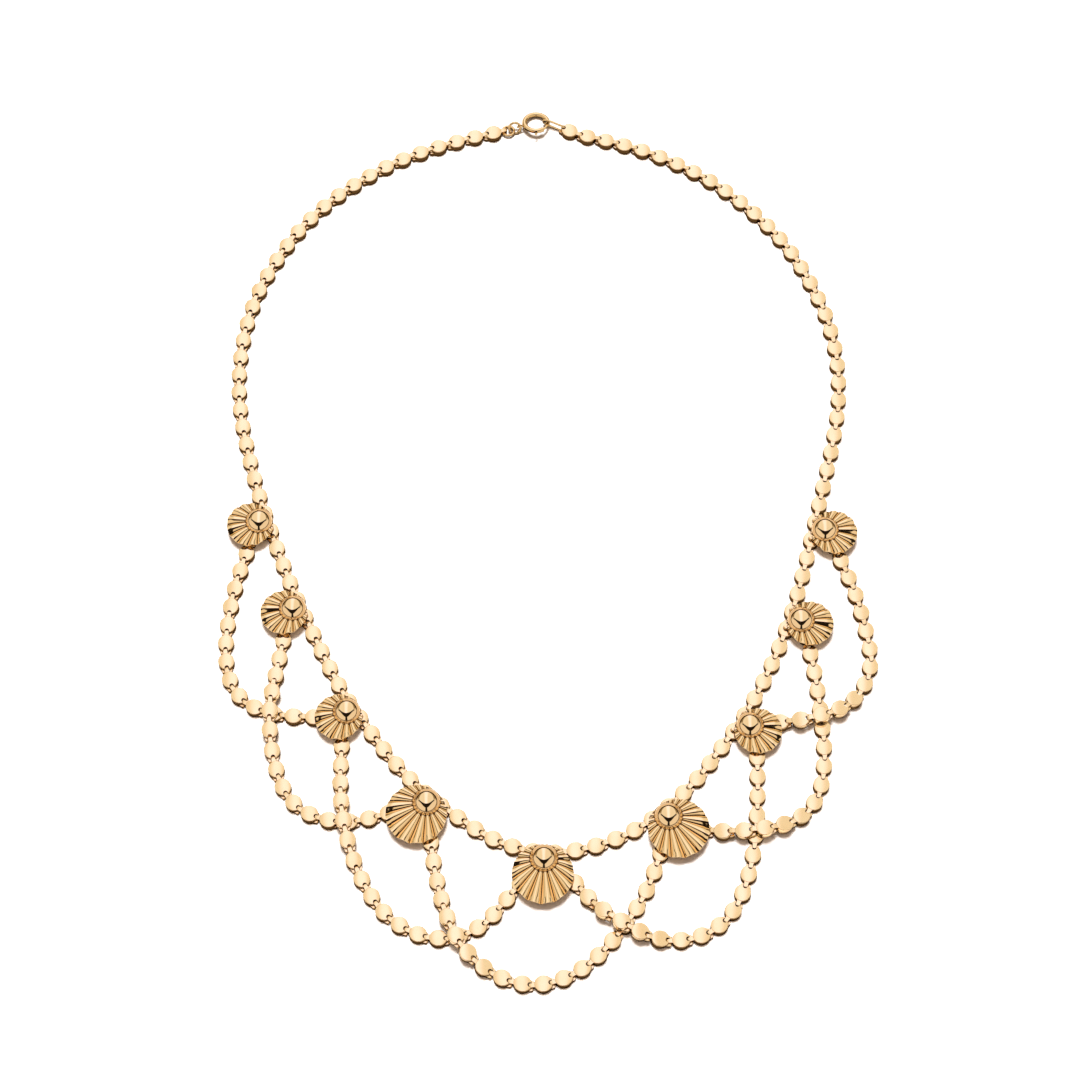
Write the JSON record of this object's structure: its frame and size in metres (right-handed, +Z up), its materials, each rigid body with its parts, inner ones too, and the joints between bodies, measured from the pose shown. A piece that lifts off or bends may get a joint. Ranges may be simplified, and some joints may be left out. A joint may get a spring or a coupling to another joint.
{
  "type": "gold festoon necklace",
  "caption": "Gold collar necklace of polished cup links with pleated rosettes and overlapping chain swags across the front and a spring ring clasp.",
  "frame": {"origin": "middle of the necklace's outline on the surface it lies on", "axes": "+X to the right, +Y towards the clasp at the nape, +Z up, away from the surface"},
  "size_m": [0.1278, 0.1922, 0.0053],
  "materials": {
    "link_gold": "polished yellow gold",
    "rosette_gold": "polished yellow gold",
    "clasp_gold": "polished yellow gold"
  },
  "bodies": {
    "necklace": {"neck_chain_left": "link_gold", "neck_chain_right": "link_gold", "front_chain_left": "link_gold", "front_chain_right": "link_gold", "rosette_1": "rosette_gold", "rosette_2": "rosette_gold", "rosette_3": "rosette_gold", "rosette_4": "rosette_gold", "rosette_5": "rosette_gold", "rosette_6": "rosette_gold", "rosette_7": "rosette_gold", "rosette_8": "rosette_gold", "rosette_9": "rosette_gold", "festoon_1": "link_gold", "festoon_2": "link_gold", "festoon_3": "link_gold", "festoon_4": "link_gold", "festoon_5": "link_gold", "festoon_6": "link_gold", "festoon_7": "link_gold", "clasp_jump_ring_1": "clasp_gold", "clasp_jump_ring_2": "clasp_gold", "spring_ring": "clasp_gold", "end_loop": "clasp_gold"},
    "bolt": {"spring_bolt": "clasp_gold"}
  },
  "joints": [
    {"name": "bolt_slide", "type": "hinge", "parent": "necklace", "child": "bolt", "pos_m": [-0.00233, 0.09323, 0.0015], "axis": [0, 0.225, 0.9744], "range_deg": [-46, 0], "stiffness_Nm_per_rad": 0.0004, "springref_deg": 20.05}
  ]
}
